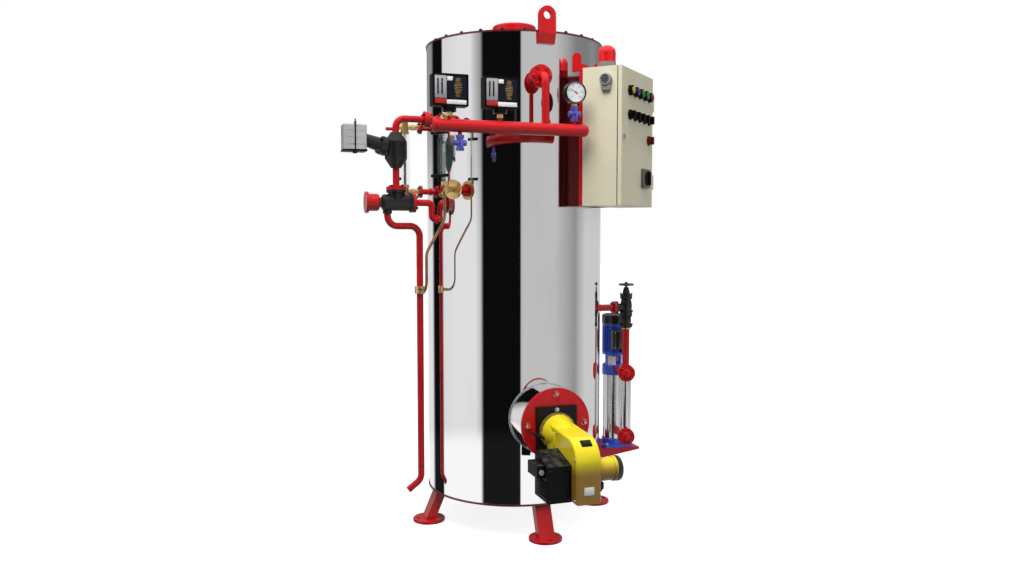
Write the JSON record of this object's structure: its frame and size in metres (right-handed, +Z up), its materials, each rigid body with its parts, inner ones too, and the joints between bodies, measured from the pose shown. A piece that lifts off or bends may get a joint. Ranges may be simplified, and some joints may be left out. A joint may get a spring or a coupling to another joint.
{
  "type": "vertical steam boiler",
  "caption": "Vertical cylindrical steam boiler with a polished jacket, low forced-draught burner, control cabinet, level gauges, steam header and a side-mounted feed pump.",
  "frame": {"origin": "on the boiler's axis at floor level, in the plane of the feet", "axes": "+Z up along the boiler's axis, -Y towards the burner, +X towards the feed pump"},
  "size_m": [1.5897, 1.525, 2.538],
  "materials": {
    "polished_steel": "mirror-polished stainless sheet",
    "edge_steel": "dark painted plate edge",
    "red_paint": "gloss red enamel",
    "black_paint": "satin black paint over castings",
    "yellow_paint": "gloss yellow enamel",
    "black_plastic": "moulded black plastic",
    "brass": "machined brass",
    "blue_cock_paint": "blue-violet paint",
    "gauge_black": "black gauge case",
    "beige_paint": "textured beige powder coat",
    "lamp_lens": "coloured lenses",
    "grey_plastic": "grey moulded plastic",
    "red_lens": "translucent red lens",
    "gauge_glass": "clear gauge glass",
    "copper": "drawn copper tube",
    "blue_paint": "gloss blue enamel",
    "stainless": "polished stainless tube",
    "wheel_paint": "dark blue paint"
  },
  "bodies": {
    "boiler": {"jacket": "polished_steel", "burner_sleeve": "polished_steel", "top_plate": "edge_steel", "bottom_plate": "edge_steel", "flue_collar": "red_paint", "legs": "red_paint", "lifting_lugs": "red_paint", "burner_flange": "red_paint", "steam_nozzle": "red_paint", "steam_riser": "red_paint", "steam_header": "red_paint", "cabinet_brackets": "red_paint", "level_nozzles": "red_paint", "level_pipes": "red_paint", "tee_cap": "red_paint", "blowdown_pipe": "red_paint", "glass_nozzles": "red_paint", "pump_shelf": "red_paint", "feed_ports": "red_paint", "feed_riser": "red_paint", "feed_pipe": "red_paint", "burner_plate": "black_paint", "air_box": "black_paint", "burner_motor_cap": "black_paint", "float_chamber": "black_paint", "float_arm": "black_paint", "level_tee": "black_paint", "check_valve": "black_paint", "stop_valve": "black_paint", "motor_covers": "black_paint", "burner_neck": "yellow_paint", "burner_housing": "yellow_paint", "burner_motor": "yellow_paint", "pressure_switches": "black_plastic", "switch_nuts": "brass", "glass_cocks": "brass", "header_cocks": "blue_cock_paint", "pressure_gauge": "gauge_black", "control_cabinet": "beige_paint", "beacon_base": "grey_plastic", "horn": "grey_plastic", "level_switch_box": "grey_plastic", "beacon_dome": "red_lens", "gauge_glasses": "gauge_glass", "drain_tube": "copper", "pump_foot": "blue_paint", "pump_head": "blue_paint", "pump_motor": "blue_paint", "pump_sleeve": "stainless", "feed_tube": "stainless"},
    "door": {"cabinet_door": "beige_paint", "pilot_lamps": "lamp_lens", "door_knobs": "black_plastic", "main_switch": "black_plastic"},
    "wheel": {"handwheel": "wheel_paint"}
  },
  "joints": [
    {"name": "door_hinge", "type": "hinge", "parent": "boiler", "child": "door", "pos_m": [0.60691, -0.3693, 1.9], "axis": [0, 0, 1], "range_deg": [0, 110]},
    {"name": "handwheel_turn", "type": "hinge", "parent": "boiler", "child": "wheel", "pos_m": [0.578, -0.15, 1.19], "axis": [0, 0, 1], "continuous": true}
  ]
}
